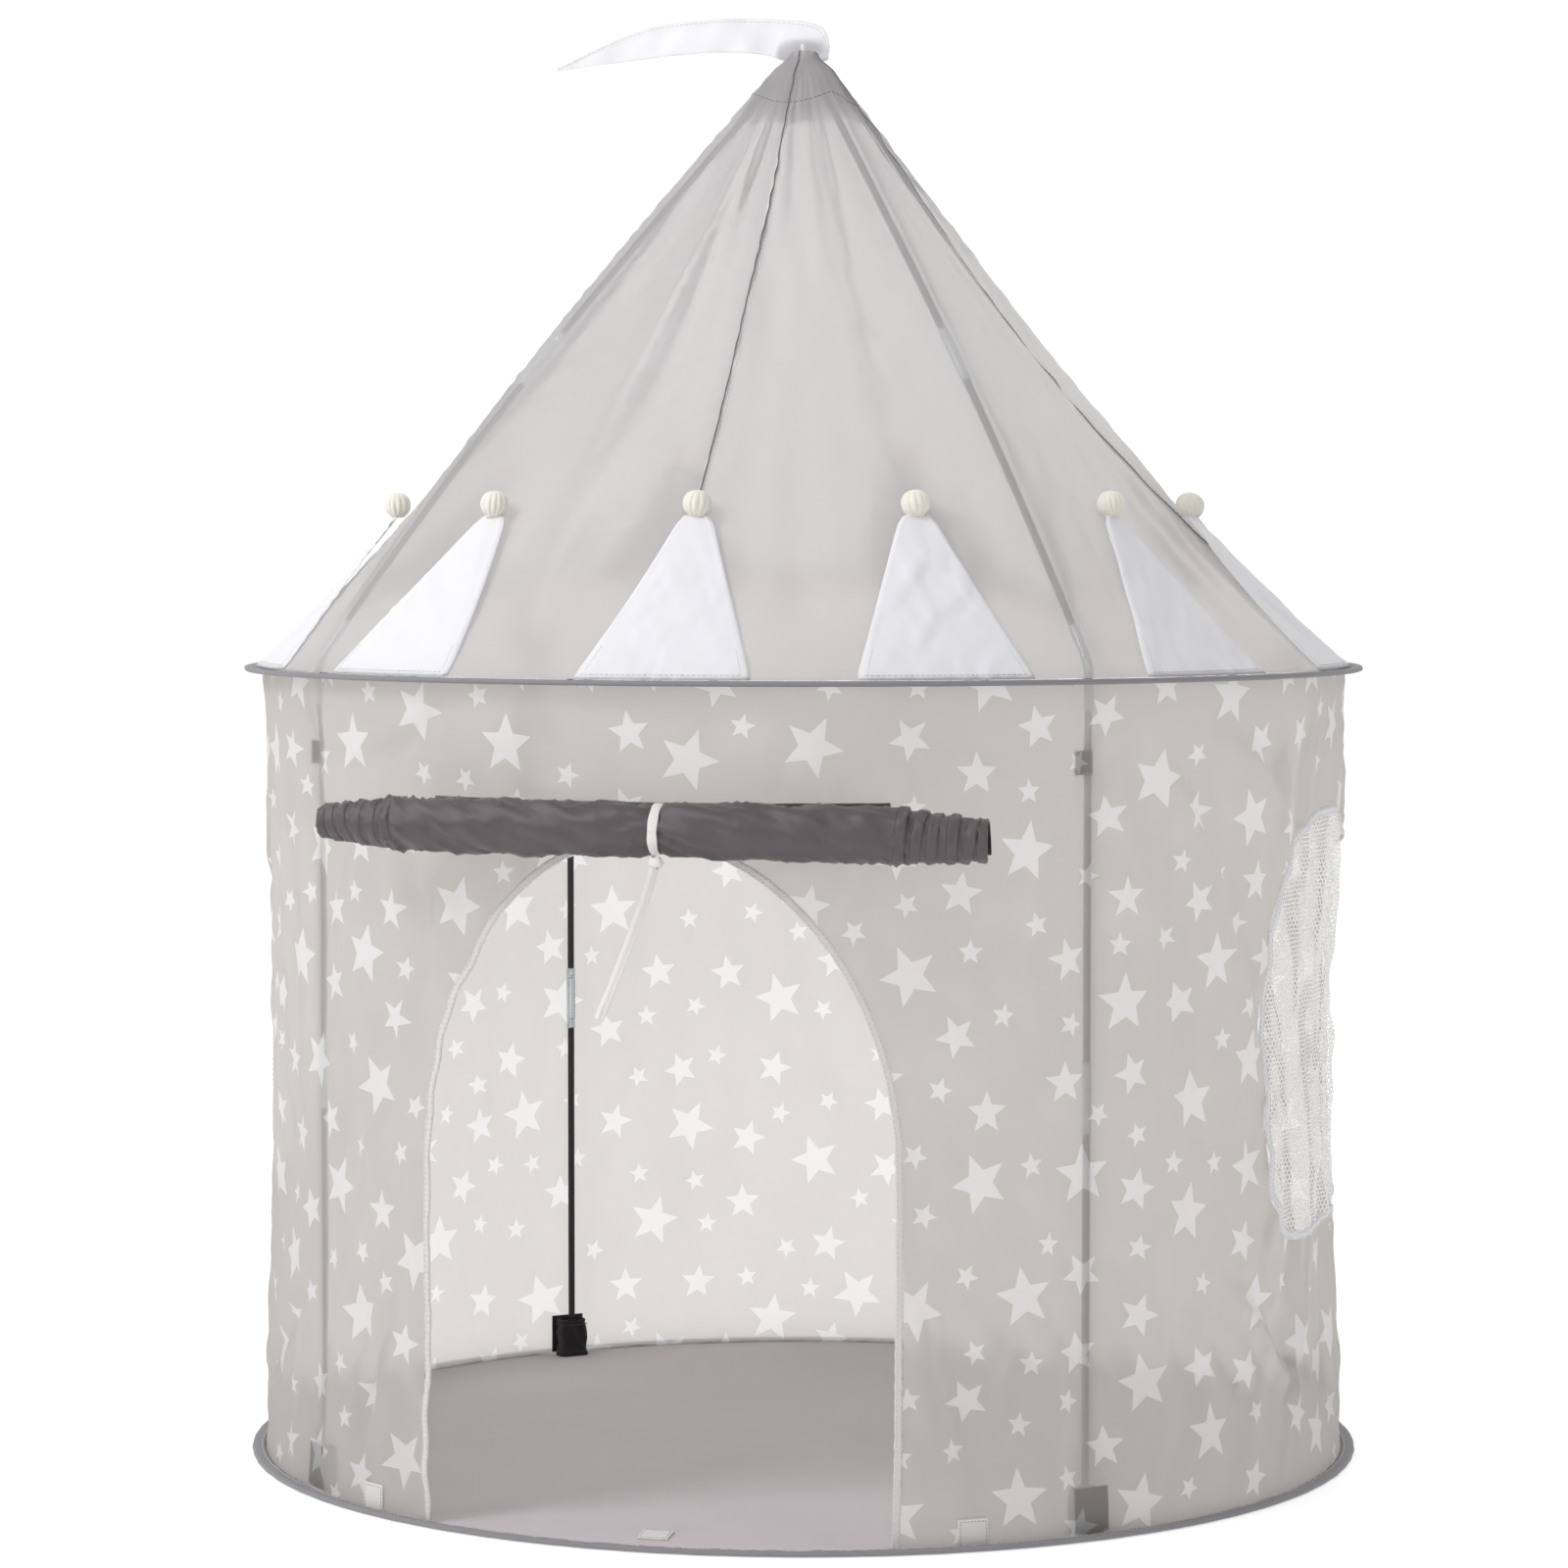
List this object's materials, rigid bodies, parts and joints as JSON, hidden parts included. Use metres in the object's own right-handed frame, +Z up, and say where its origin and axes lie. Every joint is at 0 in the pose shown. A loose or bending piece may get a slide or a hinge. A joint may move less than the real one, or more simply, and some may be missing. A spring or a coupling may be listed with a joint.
{
  "type": "play tent",
  "caption": "Round pop-up play tent with a pointed roof, crown of flaps with pompoms, rolled-up door and net windows.",
  "frame": {"origin": "centre of the ground sheet's underside, on the axis of the two hoops", "axes": "+Z up along the tent's axis, -Y out through the doorway, +X to the right of someone facing the door"},
  "size_m": [1.0052, 1.0327, 1.2885],
  "materials": {
    "wall_cloth": "thin matt polyester, printed with pale stars",
    "roof_cloth": "thin matt polyester, light comes through it",
    "floor_cloth": "matt woven polyester, warm grey",
    "binding_cloth": "folded grey tape, stitched",
    "door_cloth": "dark grey polyester with a slight sheen",
    "white_cloth": "white polyester, hemmed",
    "pale_trim": "pale grey woven tape",
    "window_net": "white knitted net",
    "pocket_cloth": "heavy black webbing",
    "fibreglass": "black pultruded rod with steel ferrules",
    "elbow_steel": "drawn steel tube",
    "spring_steel": "spring steel wire"
  },
  "bodies": {
    "tent": {"ground_sheet": "floor_cloth", "bottom_hoop": "spring_steel", "top_hoop": "spring_steel", "bottom_binding": "binding_cloth", "top_binding": "binding_cloth", "apex_cap": "binding_cloth", "wall_front": "wall_cloth", "wall_right": "wall_cloth", "wall_back": "wall_cloth", "wall_left": "wall_cloth", "roof_front_right": "roof_cloth", "roof_back_right": "roof_cloth", "roof_back_left": "roof_cloth", "roof_front_left": "roof_cloth", "door_binding": "pale_trim", "window_binding_right": "white_cloth", "window_binding_left": "white_cloth", "threshold_hook_patch": "white_cloth", "window_net_right": "window_net", "window_net_left": "window_net", "foot_pocket_front_right": "pocket_cloth", "foot_pocket_front_left": "pocket_cloth", "foot_pocket_back_left": "pocket_cloth", "foot_pocket_back_right": "pocket_cloth", "pole_front_right_foot_rod": "fibreglass", "pole_front_right_wall_rod": "fibreglass", "pole_front_right_eave_rod": "fibreglass", "pole_front_right_roof_rod": "fibreglass", "pole_front_left_foot_rod": "fibreglass", "pole_front_left_wall_rod": "fibreglass", "pole_front_left_eave_rod": "fibreglass", "pole_front_left_roof_rod": "fibreglass", "pole_back_left_foot_rod": "fibreglass", "pole_back_left_wall_rod": "fibreglass", "pole_back_left_eave_rod": "fibreglass", "pole_back_left_roof_rod": "fibreglass", "pole_back_right_foot_rod": "fibreglass", "pole_back_right_wall_rod": "fibreglass", "pole_back_right_eave_rod": "fibreglass", "pole_back_right_roof_rod": "fibreglass", "pole_front_right_elbow": "elbow_steel", "pole_front_left_elbow": "elbow_steel", "pole_back_left_elbow": "elbow_steel", "pole_back_right_elbow": "elbow_steel"},
    "rolled_door": {"door_roll": "door_cloth", "tie_loop": "pale_trim", "tie_tail": "pale_trim"},
    "pennant": {"pennant": "white_cloth"},
    "crown_flap_01": {"crown_flap_01": "white_cloth"},
    "crown_flap_02": {"crown_flap_02": "white_cloth"},
    "crown_flap_03": {"crown_flap_03": "white_cloth"},
    "crown_flap_04": {"crown_flap_04": "white_cloth"},
    "crown_flap_05": {"crown_flap_05": "white_cloth"},
    "crown_flap_06": {"crown_flap_06": "white_cloth"},
    "crown_flap_07": {"crown_flap_07": "white_cloth"},
    "crown_flap_08": {"crown_flap_08": "white_cloth"},
    "crown_flap_09": {"crown_flap_09": "white_cloth"},
    "crown_flap_10": {"crown_flap_10": "white_cloth"},
    "crown_flap_11": {"crown_flap_11": "white_cloth"},
    "crown_flap_12": {"crown_flap_12": "white_cloth"}
  },
  "joints": [
    {"name": "crown_flap_01_lift", "type": "hinge", "parent": "tent", "child": "crown_flap_01", "pos_m": [0, -0.4895, 0.7086], "axis": [1, 0, 0], "range_deg": [0, 130]},
    {"name": "crown_flap_02_lift", "type": "hinge", "parent": "tent", "child": "crown_flap_02", "pos_m": [0.24475, -0.42392, 0.7086], "axis": [0.866, 0.5, 0], "range_deg": [0, 130]},
    {"name": "crown_flap_03_lift", "type": "hinge", "parent": "tent", "child": "crown_flap_03", "pos_m": [0.42392, -0.24475, 0.7086], "axis": [0.5, 0.866, 0], "range_deg": [0, 130]},
    {"name": "crown_flap_04_lift", "type": "hinge", "parent": "tent", "child": "crown_flap_04", "pos_m": [0.4895, 0, 0.7086], "axis": [0, 1, 0], "range_deg": [0, 130]},
    {"name": "crown_flap_05_lift", "type": "hinge", "parent": "tent", "child": "crown_flap_05", "pos_m": [0.42392, 0.24475, 0.7086], "axis": [-0.5, 0.866, 0], "range_deg": [0, 130]},
    {"name": "crown_flap_06_lift", "type": "hinge", "parent": "tent", "child": "crown_flap_06", "pos_m": [0.24475, 0.42392, 0.7086], "axis": [-0.866, 0.5, 0], "range_deg": [0, 130]},
    {"name": "crown_flap_07_lift", "type": "hinge", "parent": "tent", "child": "crown_flap_07", "pos_m": [0, 0.4895, 0.7086], "axis": [-1, 0, 0], "range_deg": [0, 130]},
    {"name": "crown_flap_08_lift", "type": "hinge", "parent": "tent", "child": "crown_flap_08", "pos_m": [-0.24475, 0.42392, 0.7086], "axis": [-0.866, -0.5, 0], "range_deg": [0, 130]},
    {"name": "crown_flap_09_lift", "type": "hinge", "parent": "tent", "child": "crown_flap_09", "pos_m": [-0.42392, 0.24475, 0.7086], "axis": [-0.5, -0.866, 0], "range_deg": [0, 130]},
    {"name": "crown_flap_10_lift", "type": "hinge", "parent": "tent", "child": "crown_flap_10", "pos_m": [-0.4895, 0, 0.7086], "axis": [0, -1, 0], "range_deg": [0, 130]},
    {"name": "crown_flap_11_lift", "type": "hinge", "parent": "tent", "child": "crown_flap_11", "pos_m": [-0.42392, -0.24475, 0.7086], "axis": [0.5, -0.866, 0], "range_deg": [0, 130]},
    {"name": "crown_flap_12_lift", "type": "hinge", "parent": "tent", "child": "crown_flap_12", "pos_m": [-0.24475, -0.42392, 0.7086], "axis": [0.866, -0.5, 0], "range_deg": [0, 130]},
    {"name": "rolled_door_lift", "type": "hinge", "parent": "tent", "child": "rolled_door", "pos_m": [0, -0.4845, 0.604], "axis": [-1, 0, 0], "range_deg": [0, 60]},
    {"name": "pennant_swing", "type": "hinge", "parent": "tent", "child": "pennant", "pos_m": [0, 0, 1.256], "axis": [0, 0, 1], "range_deg": [-75, 75]}
  ]
}
